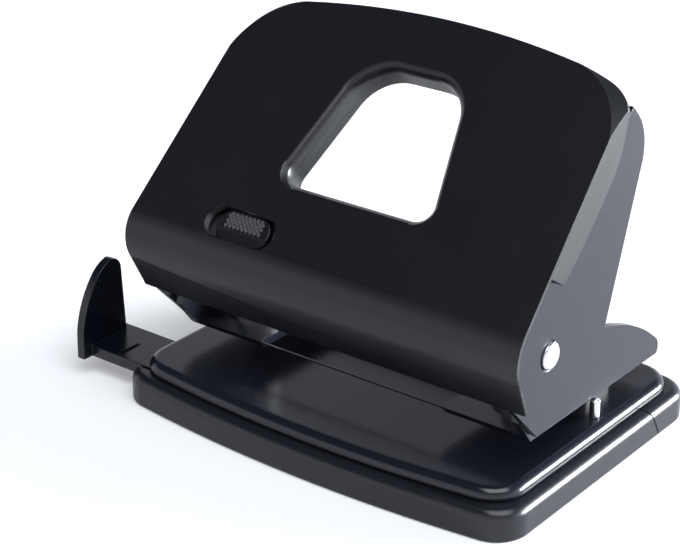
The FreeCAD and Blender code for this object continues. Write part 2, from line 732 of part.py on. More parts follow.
def windowOutline(grow):
    """The window's outline, wider at the foot, grown outward all round by the given amount."""
    lean = (size.windowFootWidth - size.windowTopWidth) / 2 / (size.windowTop - size.windowFoot)
    foot = size.windowFoot - grow
    top = size.windowTop + grow
    slant = root(1 + lean * lean)
    footHalf = size.windowFootWidth / 2 + grow * slant + lean * grow
    topHalf = size.windowTopWidth / 2 + grow * slant - lean * grow
    footRadius = size.windowFootCorner + grow
    topRadius = size.windowCorner + grow
    inward = asSize(1)
    rising = asSize(1) / slant
    across = lean / slant
    level = asSize(0)
    path = roundedCorner(-footHalf, foot, (across, rising), (inward, level), footRadius)
    path += roundedCorner(footHalf, foot, (-inward, level), (-across, rising), footRadius)
    path += roundedCorner(topHalf, top, (across, -rising), (-inward, level), topRadius)
    path += roundedCorner(-topHalf, top, (inward, level), (-across, -rising), topRadius)
    return path


def hangerOutline():
    outer = pressRadius + size.hangerEdge
    return [(pressAlong - outer, webTop), (pressAlong - outer, pressOut),
            bend(pressAlong, pressOut - outer), (pressAlong + outer, pressOut),
            (pressAlong + outer, webTop)]


def leverFrame():
    body = newBody("lever_frame")
    side = newSketch(body, "YZ_Plane")
    drawOutline(side, cheekOutline())
    pad(body, side, leverHalf * 2, symmetric=True)
    between = newSketch(body, "YZ_Plane")
    far = size.webRear + size.cheekFront
    drawOutline(between, [(-far, -far), (far, -far), (far, webLow), (-far, webLow)])
    pocket(body, between, leverInner * 2, symmetric=True)
    hangers = newSketch(body, "YZ_Plane")
    drawOutline(hangers, hangerOutline())
    pad(body, hangers, hangerOuter * 2, symmetric=True)
    gap = newSketch(body, "YZ_Plane")
    outer = pressRadius + size.hangerEdge + cutOver
    low = pressOut - outer
    drawOutline(gap, [(pressAlong - outer, low), (pressAlong + outer, low),
                      (pressAlong + outer, webLow), (pressAlong - outer, webLow)])
    pocket(body, gap, (hangerOuter - size.hangerThick) * 2, symmetric=True)
    pinBore = newSketch(body, "YZ_Plane")
    drawCircle(pinBore, 0, 0, size.pinSize + size.pinPlay * 2)
    pocket(body, pinBore, (leverHalf + cutOver) * 2, symmetric=True)
    chamfer(body, isPinMouth, size.pinEdge)
    barBore = newSketch(body, "YZ_Plane")
    drawCircle(barBore, pressAlong, pressOut, size.pressBar)
    pocket(body, barBore, (hangerOuter + cutOver) * 2, symmetric=True)
    window = newSketch(body, "XY_Plane", webTop + cutOver)
    drawOutline(window, windowOutline(size.windowWall + size.webWindowPlay))
    pocket(body, window, size.leverThick + cutOver * 2)
    screws = newSketch(body, "XY_Plane", webTop + cutOver)
    for x, y in bossPlaces():
        drawCircle(screws, x, y, size.screwSize + size.screwPlay)
    pocket(body, screws, size.leverThick + cutOver * 2)
    placeInHandle(body)
    return body


def isPinMouth(edge):
    box = edge.BoundBox
    isOuter = abs(abs(box.Center.x) - leverHalf.value) < 1e-4 and box.XLength < 1e-4
    bore = size.pinSize.value + size.pinPlay.value * 2
    return isOuter and abs(box.YLength - bore) < 0.01 and abs(box.Center.y) < 1e-3


def bossPlaces():
    places = []
    for along in (size.bossLow, size.bossHigh):
        places += [(-size.bossAcross, along), (size.bossAcross, along)]
    return places


def archOutline(half, top, archRadius, corner):
    """An arched top edge with rounded corners, from the right side over the top to the left side."""
    corners = half - corner
    archBack = top - archRadius
    reach = archRadius - corner
    climb = root(reach * reach - corners * corners)
    centre = archBack + climb
    across = corners / reach
    up = climb / reach
    spread = root(2 + 2 * across)
    turn = bend(corners + corner * (1 + across) / spread, centre + corner * up / spread)
    turnLeft = bend(-turn[1], turn[2])
    joinX = archRadius * across
    joinY = archBack + archRadius * up
    return [(half, centre), turn, (joinX, joinY), bend(0, top), (-joinX, joinY), turnLeft,
            (-half, centre)]


def noseOutline(radius, end):
    """The nose's side: an arc from the panel, then a leaning straight edge down to the nose's end."""
    centreAlong = -size.noseFront
    centreOut = size.panelRise - size.noseRadius
    bow = asSize(-45) - size.noseLean / 2
    middle = bend(centreAlong + radius * sine(bow), centreOut + radius * cosine(bow))
    arcAlong = centreAlong - radius * cosine(size.noseLean)
    arcOut = centreOut + radius * sine(size.noseLean)
    run = arcOut - end
    endAlong = arcAlong - run * sine(size.noseLean) / cosine(size.noseLean)
    return [(centreAlong, centreOut + radius), middle, (arcAlong, arcOut), (endAlong, end)]


def flareCut(body, side):
    """Cuts one side wall of the cover to its taper along the panel and its flare away from it."""
    beyond = cutOver * 5
    start = -size.cheekFront - beyond
    end = size.coverTop + beyond
    slope = (coverNose - coverShoulder) / (size.coverTaperEnd + size.cheekFront)
    lean = sine(size.coverFlare) / cosine(size.coverFlare)
    atStart = coverNose + slope * beyond + lean * cutOver
    atEnd = coverShoulder - slope * (end - size.coverTaperEnd) + lean * cutOver
    spread = coverNose + beyond * 2
    sketch = newSketch(body, "XY_Plane", size.panelRise + cutOver)
    drawOutline(sketch, [(atStart * side, start), (spread * side, start), (spread * side, end),
                         (atEnd * side, end)])
    before = body.Shape.Volume
    feature = body.newObject("PartDesign::Pocket", "Pocket")
    feature.Profile = sketch
    feature.UseCustomVector = True
    feature.Direction = FreeCAD.Vector(-side * lean.value, 0, -1)
    bind(feature, "Direction.x", lean * -side)
    bind(feature, "Length", size.panelRise - size.noseEdge + cutOver * 2)
    finish(body, feature, "flare")
    if not body.Shape.Volume < before - 1e-6:
        raise RuntimeError("a flare of %s cuts nothing" % body.Label)


def cornerCut(body, side):
    """Slopes a far corner of the cover, so that it is rounder at the panel than at the wall's foot."""
    diagonal = cosine(size.coverCornerTurn)
    arch = archOutline(coverShoulder + size.coverCornerOver + size.coverSoftOver,
                       size.coverTop + size.coverSoftOver, size.coverArch, size.coverSoftCorner)
    start, turn, join = arch[:3]
    inward = diagonal * cutOver
    outer = start[0] + size.coverSoftCorner
    far = join[1] + size.coverSoftCorner
    sketch = newSketch(body, "XY_Plane", size.panelRise + cutOver)
    drawOutline(sketch, [((start[0] - inward) * side, start[1] - inward),
                         bend((turn[1] - inward) * side, turn[2] - inward),
                         ((join[0] - inward) * side, join[1] - inward),
                         ((join[0] - inward) * side, far), (outer * side, far),
                         (outer * side, start[1] - inward)])
    before = body.Shape.Volume
    feature = body.newObject("PartDesign::Pocket", "Pocket")
    feature.Profile = sketch
    feature.UseCustomVector = True
    feature.Direction = FreeCAD.Vector(side * diagonal.value, diagonal.value, -1)
    bind(feature, "Direction.x", diagonal * side)
    bind(feature, "Direction.y", diagonal)
    bind(feature, "Length", size.coverSoftCorner / 2)
    finish(body, feature, "corner")
    if not body.Shape.Volume < before - 1e-6:
        raise RuntimeError("a corner of %s cuts nothing" % body.Label)


def sideRelief(body, side):
    """Cuts a side wall of the cover back to a rim beside the pivot, where the metal cheek shows."""
    low = size.noseEdge - cutOver
    sketch = newSketch(body, "YZ_Plane", coverInnerHalf * side)
    drawOutline(sketch, noseOutline(size.noseRadius - size.sideRim, low)
                + [(size.sideReliefFoot, low), (size.sideReliefFoot, size.wallEdgeHigh),
                   (size.sideReliefTop, size.panelRise - size.sideRim)])
    pocket(body, sketch, coverNose, upward=side > 0)


def handleCover():
    body = newBody("handle_cover")
    wide = coverNose + cutOver * 3
    far = size.coverTop + cutOver * 3
    profile = newSketch(body, "YZ_Plane")
    drawOutline(profile, noseOutline(size.noseRadius, size.noseEdge)
                + [(size.cheekStep - size.cheekFront, size.noseEdge),
                   (size.wallEdgeStart, size.wallEdgeHigh),
                   bend(size.wallEdgeBend, size.wallEdgeMiddle),
                   (size.wallEdgeEnd, size.wallEdgeLow), bend(size.wallRiseAlong, size.wallRise),
                   (size.wallRiseEnd, size.wallEdgeRear),
                   (far, size.wallEdgeRear), (far, size.panelRise)])
    pad(body, profile, wide * 2, symmetric=True)
    archHalf = coverShoulder + size.coverCornerOver
    arch = archOutline(archHalf, size.coverTop, size.coverArch, size.coverCorner)
    beyond = newSketch(body, "XY_Plane", size.panelRise + cutOver)
    outer = wide + cutOver
    drawOutline(beyond, arch + [(-outer, arch[-1][1]), (-outer, far + cutOver),
                                (outer, far + cutOver), (outer, arch[0][1])])
    pocket(body, beyond, size.panelRise * 2)
    for side in (-1, 1):
        flareCut(body, side)
        cornerCut(body, side)
    seam = size.coverTop - size.coverCorner - size.coverWall * 2
    front = newSketch(body, "YZ_Plane")
    low = size.noseEdge - cutOver
    drawOutline(front, noseOutline(size.noseRadius - size.coverWall, low)
                + [(seam, low), (seam, panelInside)])
    pocket(body, front, coverInnerHalf * 2, symmetric=True)
    back = newSketch(body, "XY_Plane", panelInside)
    innerArch = archOutline(coverInnerHalf, size.coverTop - size.coverWall,
                            size.coverArch - size.coverWall, size.coverInnerCorner)
    start = seam - cutOver * 5
    drawOutline(back, innerArch + [(-coverInnerHalf, start), (coverInnerHalf, start)])
    pocket(body, back, size.panelRise)
    for side in (-1, 1):
        sideRelief(body, side)
    frameRoom = newSketch(body, "XY_Plane", webTop + size.coverPlay)
    roomEnd = size.webRear + size.coverPlay
    drawOutline(frameRoom, [(-coverInnerHalf, start), (coverInnerHalf, start), (coverInnerHalf, roomEnd),
                            (-coverInnerHalf, roomEnd)])
    pocket(body, frameRoom, size.panelRise)
    collar = newSketch(body, "XY_Plane", size.panelRise - size.windowDeep)
    drawOutline(collar, windowOutline(size.windowWall))
    overlap = size.coverWall / 2
    pad(body, collar, size.windowDeep - overlap)
    window = newSketch(body, "XY_Plane", size.panelRise + cutOver)
    drawOutline(window, windowOutline(0))
    pocket(body, window, size.windowDeep + cutOver * 2)
    chamfer(body, isWindowRim, size.windowRim)
    slot = newSketch(body, "XY_Plane", size.panelRise + cutOver)
    drawOutline(slot, stadium(-size.lockAcross, size.lockAlong, size.lockSlotLong, size.lockSlotTall))
    pocket(body, slot, size.coverWall + cutOver * 2)
    bosses = newSketch(body, "XY_Plane", webTop)
    for x, y in bossPlaces():
        drawCircle(bosses, x, y, size.bossSize)
    pad(body, bosses, panelInside - webTop + overlap)
    threads = newSketch(body, "XY_Plane", webTop)
    for x, y in bossPlaces():
        drawCircle(threads, x, y, size.screwSize)
    pocket(body, threads, size.screwBite + size.screwPlay, upward=True)
    placeInHandle(body)
    return body


def isWindowRim(edge):
    box = edge.BoundBox
    level = isAtHeight(edge, size.panelRise.value)
    half = size.windowFootWidth.value / 2 + cutOver
    across = box.XMax < half and box.XMin > -half
    along = size.windowFoot.value - cutOver < box.YMin and box.YMax < size.windowTop.value + cutOver
    return level and across and along


def stadium(x, y, long, tall):
    half = (asSize(long) - tall) / 2
    tip = asSize(tall) / 2
    left = x - half
    right = x + half
    return [(left, y - tip), (right, y - tip), bend(right + tip, y), (right, y + tip),
            (left, y + tip), bend(left - tip, y)]


def coverScrews():
    screws = []
    for x, y in bossPlaces():
        head = rod(size.screwHead, size.screwHeadThick, x, y, webLow - size.screwHeadThick)
        shank = rod(size.screwSize, size.leverThick + size.screwBite, x, y, webLow)
        screws.append(fused(head, shank))
    item = group("cover_screws", screws)
    placeInHandle(item)
    return item


def pressBarRod():
    body = newBody("press_bar")
    outline = newSketch(body, "YZ_Plane")
    drawCircle(outline, pressAlong, pressOut, size.pressBar)
    pad(body, outline, hangerOuter * 2, symmetric=True)
    placeInHandle(body)
    return body


# ---- lock ----
knobAcross = size.knobShift - size.lockAcross
flangeTop = panelInside - size.pinEdge


def lockSlider():
    body = newBody("lock_slider")
    tall = size.lockSlotTall - size.knobPlay * 2
    flangeLow = flangeTop - size.lockFlangeThick
    flange = newSketch(body, "XY_Plane", flangeLow)
    drawOutline(flange, stadium(knobAcross, size.lockAlong, size.knobLong + size.lockFlange,
                                tall + size.lockFlange))
    pad(body, flange, size.lockFlangeThick)
    knob = newSketch(body, "XY_Plane", flangeLow)
    drawOutline(knob, stadium(knobAcross, size.lockAlong, size.knobLong, tall))
    pad(body, knob, size.panelRise - size.knobSink - flangeLow)
    step = newSketch(body, "XY_Plane", size.panelRise)
    half = size.knobLong / 2 + cutOver
    low = size.lockAlong - tall / 2 - cutOver
    high = size.lockAlong - size.knobStepBelow
    drawOutline(step, [(knobAcross - half, low), (knobAcross + half, low), (knobAcross + half, high),
                       (knobAcross - half, high)])
    pocket(body, step, size.knobSink + size.knobStep)
    placeInHandle(body)
    return body


def lockBar():
    body = newBody("lock_bar")
    right = knobAcross + size.knobLong / 2
    left = right - size.lockBarLong
    half = size.lockBarWide / 2
    outline = newSketch(body, "XY_Plane", flangeTop - size.lockFlangeThick - size.lockBarThick)
    drawOutline(outline, [(left, size.lockAlong - half), (right, size.lockAlong - half),
                          (right, size.lockAlong + half), (left, size.lockAlong + half)])
    pad(body, outline, size.lockBarThick)
    placeInHandle(body)
    return body


# ---- paper guide ----
def paperGuide():
    body = newBody("paper_guide")
    arm = newSketch(body, "XY_Plane", size.guideLow)
    neck = size.guideNeck - size.guideFront
    lugStart = size.guideInner - size.guideLugLong
    drawOutline(arm, [(-size.guideEnd, -size.guideFront), (size.guideNeckStart, -size.guideFront),
                      (size.guideNeckStart + size.guideNeck, neck), (size.guideInner, neck),
                      (size.guideInner, size.guideLug - size.guideRear),
                      (lugStart, size.guideLug - size.guideRear), (lugStart, -size.guideRear),
                      (-size.guideEnd, -size.guideRear)])
    pad(body, arm, size.guideThick)
    fin = newSketch(body, "YZ_Plane", size.finInset - size.guideEnd)
    drawOutline(fin, [(-size.finFront, size.guideLow), (-size.finRear, size.guideLow),
                      (-size.finHeelFront, size.finHeel), bend(-size.finNapeFront, size.finNape),
                      (-size.finTopFront, size.finTop), bend(-size.finBrowFront, size.finBrow),
                      (-size.finShoulderFront, size.finShoulder),
                      bend(-size.finBowFront, size.finBow), (-size.finKneeFront, size.finKnee)])
    pad(body, fin, size.finThick)
    mark = newSketch(body, "XY_Plane", size.guideLow + size.guideThick)
    half = size.guideMarkWide / 2
    inset = size.guideFront - size.guideMarkFront
    back = -size.guideRear - size.guideMarkBack
    drawOutline(mark, [(-size.guideMark - half, -inset), (half - size.guideMark, -inset),
                       (half - size.guideMark, back), (-size.guideMark - half, back)])
    pocket(body, mark, size.guideMarkDeep)
    return body


def guideStrap():
    body = newBody("guide_strap")
    outline = newSketch(body, "YZ_Plane", -strapInner - size.strapLong / 2)
    innerFront = -size.guideFront - size.guidePlay
    innerRear = -size.guideRear + size.guidePlay
    innerLow = size.guideLow - size.guidePlay
    front = innerFront - size.strapThick
    rear = innerRear + size.strapThick
    low = innerLow - size.strapThick
    flangeLow = plateUnder - size.strapThick
    end = rear + size.strapFlange
    drawOutline(outline, [(front, low), (rear, low), (rear, flangeLow), (end, flangeLow),
                          (end, plateUnder), (innerRear, plateUnder), (innerRear, innerLow),
                          (innerFront, innerLow), (innerFront, plateLow), (front, plateLow)])
    pad(body, outline, size.strapLong, symmetric=True)
    across, back = strapRivetPlace()
    hole = newSketch(body, "XY_Plane", plateUnder)
    drawCircle(hole, across, back, size.strapRivet)
    pocket(body, hole, size.strapThick + cutOver)
    return body


def strapRivet():
    across, back = strapRivetPlace()
    low = plateUnder - size.strapThick - size.strapRivetHeadThick
    foot = rod(size.strapRivetHead, size.strapRivetHeadThick, across, back, low)
    shank = rod(size.strapRivet, plateTop - low, across, back, low)
    item = fused(foot, shank)
    item.Label = "strap_rivet"
    return item


# ---- the whole punch ----
pieces = [
    chipTray(), rearTray(), trayScrews(), basePlate(), stopPosts(), punchBracket(), bracketSpacer(),
    bracketRivets(), pivotPin(), pivotClips(), leverFrame(), handleCover(), coverScrews(),
    pressBarRod(), lockSlider(), lockBar(), paperGuide(), guideStrap(), strapRivet(),
]
for side, across in (("left", -holeAcross), ("right", holeAcross)):
    pieces += [
        punch("punch_" + side, across),
        punchGuide("punch_guide_" + side, across),
        springSeat("spring_seat_" + side, across),
        punchSpring("punch_spring_" + side, across),
    ]
doc.recompute()

for item in doc.Objects:
    if "Invalid" in item.State or "Error" in item.State:
        raise RuntimeError("%s did not recompute: %s" % (item.Label, item.State))
for piece in pieces:
    if piece.Shape.isNull() or not piece.Shape.isValid():
        raise RuntimeError("%s has no sound shape" % piece.Label)

os.makedirs("parts", exist_ok=True)
for piece in pieces:
    piece.Shape.exportStep("parts/%s.step" % piece.Label)
    box = piece.Shape.BoundBox
    print("%-20s solids %d  volume %9.1f  x %6.1f..%6.1f  y %6.1f..%6.1f  z %6.1f..%6.1f" % (
        piece.Label, len(piece.Shape.Solids), piece.Shape.Volume,
        box.XMin, box.XMax, box.YMin, box.YMax, box.ZMin, box.ZMax))
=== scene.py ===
import json
import math

import bmesh
import bpy
from mathutils import Matrix, Vector


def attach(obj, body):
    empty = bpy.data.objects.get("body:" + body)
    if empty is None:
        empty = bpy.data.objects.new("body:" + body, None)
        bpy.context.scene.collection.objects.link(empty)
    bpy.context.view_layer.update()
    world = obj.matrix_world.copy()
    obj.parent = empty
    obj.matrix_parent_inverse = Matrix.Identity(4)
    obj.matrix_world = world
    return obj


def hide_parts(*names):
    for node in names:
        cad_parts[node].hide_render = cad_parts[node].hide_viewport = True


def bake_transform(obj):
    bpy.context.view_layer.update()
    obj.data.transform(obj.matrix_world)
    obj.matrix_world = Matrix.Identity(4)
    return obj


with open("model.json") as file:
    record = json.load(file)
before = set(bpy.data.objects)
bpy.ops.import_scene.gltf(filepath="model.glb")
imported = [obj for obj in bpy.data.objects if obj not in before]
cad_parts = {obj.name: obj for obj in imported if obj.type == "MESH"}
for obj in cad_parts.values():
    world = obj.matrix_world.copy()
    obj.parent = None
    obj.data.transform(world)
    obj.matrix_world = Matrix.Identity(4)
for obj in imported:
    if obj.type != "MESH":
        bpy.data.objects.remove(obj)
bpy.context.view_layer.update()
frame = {"nodes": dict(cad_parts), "record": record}
nodes = frame["nodes"]

print("frame loaded:", len(nodes), "nodes")

# ---- materials ----
# colours are linear; grain and smudge are the sizes of the surface textures in millimetres


def finishGroup():
    """One shared effect: fine grain, broad handling smudges and thin scratches in gloss and relief."""
    group = bpy.data.node_groups.new("surfaceFinish", "ShaderNodeTree")
    for name, default in (("Roughness", 0.3), ("Uneven", 0.04), ("Grain", 1000.0), ("Smudge", 40.0),
                          ("Scratches", 0.1), ("Relief", 0.1)):
        socket = group.interface.new_socket(name, in_out="INPUT", socket_type="NodeSocketFloat")
        socket.default_value = default
    group.interface.new_socket("Roughness", in_out="OUTPUT", socket_type="NodeSocketFloat")
    group.interface.new_socket("Normal", in_out="OUTPUT", socket_type="NodeSocketVector")
    inputs = group.nodes.new("NodeGroupInput")
    outputs = group.nodes.new("NodeGroupOutput")
    coordinates = group.nodes.new("ShaderNodeTexCoord")

    def noise(scaleSocket, detail, stretch):
        spread = group.nodes.new("ShaderNodeMapping")
        spread.inputs["Scale"].default_value = stretch
        group.links.new(coordinates.outputs["Object"], spread.inputs["Vector"])
        texture = group.nodes.new("ShaderNodeTexNoise")
        texture.inputs["Detail"].default_value = detail
        group.links.new(spread.outputs["Vector"], texture.inputs["Vector"])
        group.links.new(inputs.outputs[scaleSocket], texture.inputs["Scale"])
        return texture.outputs["Fac"]

    def combine(operation, first, second):
        node = group.nodes.new("ShaderNodeMath")
        node.operation = operation
        for socket, value in zip(node.inputs, (first, second)):
            if isinstance(value, float):
                socket.default_value = value
            else:
                group.links.new(value, socket)
        return node.outputs["Value"]

    grain = noise("Grain", 2, (1, 1, 1))
    smudge = noise("Smudge", 3, (1, 1, 1))
    scratch = noise("Grain", 1, (0.02, 0.35, 0.35))
    lines = combine("MULTIPLY", combine("GREATER_THAN", scratch, 0.7), inputs.outputs["Scratches"])
    blend = combine("ADD", combine("MULTIPLY", grain, 0.5), smudge)
    swing = combine("MULTIPLY", combine("SUBTRACT", blend, 0.75), inputs.outputs["Uneven"])
    rough = combine("ADD", combine("ADD", inputs.outputs["Roughness"], swing), lines)
    group.links.new(rough, outputs.inputs["Roughness"])
    bump = group.nodes.new("ShaderNodeBump")
    bump.inputs["Distance"].default_value = 0.00005
    group.links.new(inputs.outputs["Relief"], bump.inputs["Strength"])
    group.links.new(grain, bump.inputs["Height"])
    group.links.new(bump.outputs["Normal"], outputs.inputs["Normal"])
    return group


surfaceFinish = finishGroup()


def newMaterial(name):
    material = bpy.data.materials.new(name)
    material.use_nodes = True
    tree = material.node_tree
    return material, tree, tree.nodes["Principled BSDF"]


def finished(name, values):
    """A material whose colour and metal are plain values and whose gloss has the shared finish."""
    material, tree, shader = newMaterial(name)
    shader.inputs["Base Color"].default_value = (*values["colour"], 1)
    shader.inputs["Metallic"].default_value = values["metal"]
    shader.inputs["IOR"].default_value = 1.5
    finish = tree.nodes.new("ShaderNodeGroup")
    finish.node_tree = surfaceFinish
    finish.inputs["Roughness"].default_value = values["roughness"]
    finish.inputs["Uneven"].default_value = values["uneven"]
    finish.inputs["Grain"].default_value = 1000 / values["grain"]
    finish.inputs["Smudge"].default_value = 1000 / values["smudge"]
    finish.inputs["Scratches"].default_value = values["scratches"]
    finish.inputs["Relief"].default_value = values["relief"]
    tree.links.new(finish.outputs["Roughness"], shader.inputs["Roughness"])
    tree.links.new(finish.outputs["Normal"], shader.inputs["Normal"])
    return material


finishes = {
    "coverPlastic": {"colour": (0.003, 0.0036, 0.0055), "metal": 0, "roughness": 0.36, "uneven": 0.08,
                     "grain": 0.5, "smudge": 22, "scratches": 0.0, "relief": 0.14},
    # the knob ribs' grey is lighter than the knob's own dark plastic: a painted sheen for the light its
    # textured top scatters
    "knobRibSheen": {"colour": (0.08, 0.081, 0.088), "metal": 0, "roughness": 0.5, "uneven": 0.06,
                    "grain": 0.4, "smudge": 9, "scratches": 0.05, "relief": 0.2},
    "trayPlastic": {"colour": (0.006, 0.007, 0.0105), "metal": 0, "roughness": 0.3, "uneven": 0.08,
                    "grain": 0.5, "smudge": 25, "scratches": 0.08, "relief": 0.22},
    "guidePlastic": {"colour": (0.003, 0.004, 0.008), "metal": 0, "roughness": 0.24, "uneven": 0.06,
                     "grain": 0.6, "smudge": 15, "scratches": 0.06, "relief": 0.06},
    "blackPaint": {"colour": (0.007, 0.008, 0.013), "metal": 0, "roughness": 0.2, "uneven": 0.06,
                   "grain": 0.9, "smudge": 30, "scratches": 0.05, "relief": 0.08},
    "brightSteel": {"colour": (0.74, 0.74, 0.76), "metal": 1, "roughness": 0.2, "uneven": 0.08,
                    "grain": 1.1, "smudge": 6, "scratches": 0.1, "relief": 0.05},
    "plainSteel": {"colour": (0.55, 0.55, 0.57), "metal": 1, "roughness": 0.32, "uneven": 0.1,
                   "grain": 0.9, "smudge": 12, "scratches": 0.12, "relief": 0.08},
    "springSteel": {"colour": (0.42, 0.42, 0.45), "metal": 1, "roughness": 0.3, "uneven": 0.08,
                    "grain": 0.7, "smudge": 5, "scratches": 0.1, "relief": 0.06},
}
made = {name: finished(name, values) for name, values in finishes.items()}
coverPlastic = made["coverPlastic"]
knobRibSheen = made["knobRibSheen"]
trayPlastic = made["trayPlastic"]
guidePlastic = made["guidePlastic"]
blackPaint = made["blackPaint"]
brightSteel = made["brightSteel"]
plainSteel = made["plainSteel"]
springSteel = made["springSteel"]

materialOf = {
    "chip_tray": trayPlastic, "rear_tray": trayPlastic, "handle_cover": coverPlastic,
    "lock_slider": coverPlastic, "paper_guide": guidePlastic, "base_plate": blackPaint,
    "punch_bracket": blackPaint, "lever_frame": blackPaint, "bracket_spacer": plainSteel,
    "bracket_rivets": plainSteel, "stop_posts": brightSteel, "pivot_pin": brightSteel,
    "pivot_clips": springSteel, "press_bar": brightSteel, "lock_bar": plainSteel,
    "guide_strap": plainSteel, "strap_rivet": blackPaint, "cover_screws": plainSteel,
    "tray_screws": plainSteel, "punch_left": brightSteel, "punch_right": brightSteel,
    "punch_guide_left": plainSteel, "punch_guide_right": plainSteel, "spring_seat_left": plainSteel,
    "spring_seat_right": plainSteel, "punch_spring_left": springSteel,
    "punch_spring_right": springSteel,
}
for name, material in materialOf.items():
    for holder in nodes[name].material_slots:
        holder.material = material
print("materials made")

# ---- rounded-over copies of the machined shapes ----
# widths are millimetres; flat and sharp are degrees between neighbouring faces
handleTurn = math.radians(43.75)
pivot = Vector((0, -0.0226, 0.037))


def inHandle(point):
    """A point in the handle's own frame, in millimetres: across, along the panel, out from the pivot."""
    back = (point.y - pivot.y) * 1000
    high = (point.z - pivot.z) * 1000
    along = back * math.cos(handleTurn) + high * math.sin(handleTurn)
    out = high * math.cos(handleTurn) - back * math.sin(handleTurn)
    return Vector((point.x * 1000, along, out))


def everywhere(middle):
    """The same full width on every edge."""
    return 1.0


def roundOver(mesh, values, weightOf):
    """The mesh with its sharp edges rounded in one pass; weightOf scales the width edge by edge."""
    work = bmesh.new()
    work.from_mesh(mesh)
    weight = work.edges.layers.float.new("bevel_weight_edge")
    for edge in work.edges:
        if len(edge.link_faces) == 2 and edge.calc_face_angle(0) > math.radians(values["sharp"]):
            edge[weight] = weightOf((edge.verts[0].co + edge.verts[1].co) / 2)
    rounded = bpy.data.meshes.new(mesh.name + "Round")
    work.to_mesh(rounded)
    work.free()
    for polygon in rounded.polygons:
        polygon.use_smooth = True
    holder = bpy.data.objects.new("rounding", rounded)
    bpy.context.scene.collection.objects.link(holder)
    bevel = holder.modifiers.new("roundOver", "BEVEL")
    bevel.limit_method = "WEIGHT"
    bevel.width = values["width"] / 1000
    bevel.segments = values["segments"]
    bevel.use_clamp_overlap = True
    normals = holder.modifiers.new("evenShade", "WEIGHTED_NORMAL")
    normals.weight = 80
    done = bakedMesh(holder)
    bpy.data.objects.remove(holder)
    return done


def softenedCopy(nodeName, *passes):
    """A copy of a part's mesh whose sharp edges are rounded, one pass after the other."""
    work = bmesh.new()
    work.from_mesh(nodes[nodeName].data)
    bmesh.ops.remove_doubles(work, verts=work.verts, dist=weldReach)
    bmesh.ops.dissolve_limit(work, angle_limit=flatLimit, verts=work.verts, edges=work.edges)
    mesh = bpy.data.meshes.new(nodeName + "Plain")
    work.to_mesh(mesh)
    work.free()
    for values, weightOf in passes:
        mesh = roundOver(mesh, values, weightOf)
    return dressed(nodeName + "Soft", mesh, materialOf[nodeName], nodeName)


def dressed(name, mesh, material, nodeName):
    """A finished piece that stands for a node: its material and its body."""
    piece = bpy.data.objects.new(name, mesh)
    bpy.context.scene.collection.objects.link(piece)
    mesh.materials.clear()
    mesh.materials.append(material)
    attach(piece, bodyOf[nodeName])
    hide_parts(nodeName)
    return piece


def bakedMesh(holder):
    """The mesh of an object with its modifiers worked in."""
    view = bpy.context.evaluated_depsgraph_get()
    return bpy.data.meshes.new_from_object(holder.evaluated_get(view))


flatLimit = math.radians(0.1)
weldReach = 2e-6  # metres
bodyOf = {node: body for body, members in frame["record"]["behaviour"]["bodies"].items() for node in members}

rimEdges = {"width": 2.6, "segments": 6, "sharp": 22, "nose": 0.35, "corner": 0.6, "panel": 20.6,
            "noseAlong": -2.9, "noseOut": 10.4, "noseRadius": 10.2, "noseSide": 50, "reliefEnd": 13,
            "levelPlay": 0.05, "nosePlay": 0.08, "windowSide": 28, "windowEnd": 55, "cornerAlong": 38,
            "cornerSide": 38, "cornerOut": 15.95}


def rimWeight(middle):
    """Full width along the panel's rim, less at the nose's ends and at the far corners, none elsewhere."""
    values = rimEdges
    place = inHandle(middle)
    level = abs(place.z - values["panel"]) < values["levelPlay"]
    reach = math.hypot(place.y - values["noseAlong"], place.z - values["noseOut"])
    nose = abs(reach - values["noseRadius"]) < values["nosePlay"] and abs(place.x) > values["noseSide"]
    if nose or (level and place.y < values["reliefEnd"] and abs(place.x) > values["noseSide"]):
        return values["nose"]
    if level and (abs(place.x) > values["windowSide"] or place.y > values["windowEnd"]):
        return 1.0
    far = place.y > values["cornerAlong"] and abs(place.x) > values["cornerSide"]
    return values["corner"] if far and place.z > values["cornerOut"] else 0.0


windowEdges = {"width": 0.9, "segments": 4, "sharp": 24, "other": 0.25, "step": 0.8, "floor": 18.1,
               "halfWide": 26, "start": 8, "stepStart": 10.2, "stepEnd": 12.9, "stepSide": 51,
               "panel": 19.9, "rimSide": 28}


def windowWeight(middle):
    """Full width round the window, a chamfer on the rim's step beside the pivot, little elsewhere."""
    values = windowEdges
    place = inHandle(middle)
    side = abs(place.x)
    if place.z > values["floor"] and side < values["halfWide"] and place.y > values["start"]:
        return 1.0
    atStep = values["stepStart"] < place.y < values["stepEnd"] and side > values["stepSide"]
    if atStep and place.z < values["panel"]:
        return values["step"]
    return 0.0 if place.z > values["panel"] and side > values["rimSide"] else values["other"]


softenedCopy("handle_cover", (rimEdges, rimWeight), (windowEdges, windowWeight))

frameEdges = {"width": 0.9, "segments": 4, "sharp": 28, "fold": 1.0, "other": 0.3, "web": 13.5,
              "side": 50}


def frameWeight(middle):
    """Full width along the folds between the web and the cheeks, little elsewhere."""
    place = inHandle(middle)
    fold = place.z > frameEdges["web"] and abs(place.x) > frameEdges["side"]
    return frameEdges["fold"] if fold else frameEdges["other"]


softenedCopy("lever_frame", (frameEdges, frameWeight))
smallEdges = {"punch_bracket": 0.3, "chip_tray": 0.3, "rear_tray": 0.3, "base_plate": 0.25,
              "paper_guide": 0.5, "lock_slider": 0.35, "stop_posts": 0.35, "pivot_pin": 0.35,
              "guide_strap": 0.2, "bracket_spacer": 0.3, "lock_bar": 0.2}
for name, width in smallEdges.items():
    softenedCopy(name, ({"width": width, "segments": 3, "sharp": 28}, everywhere))
print("edges rounded")

# ---- repeated pieces, each one pattern of Geometry Nodes ----


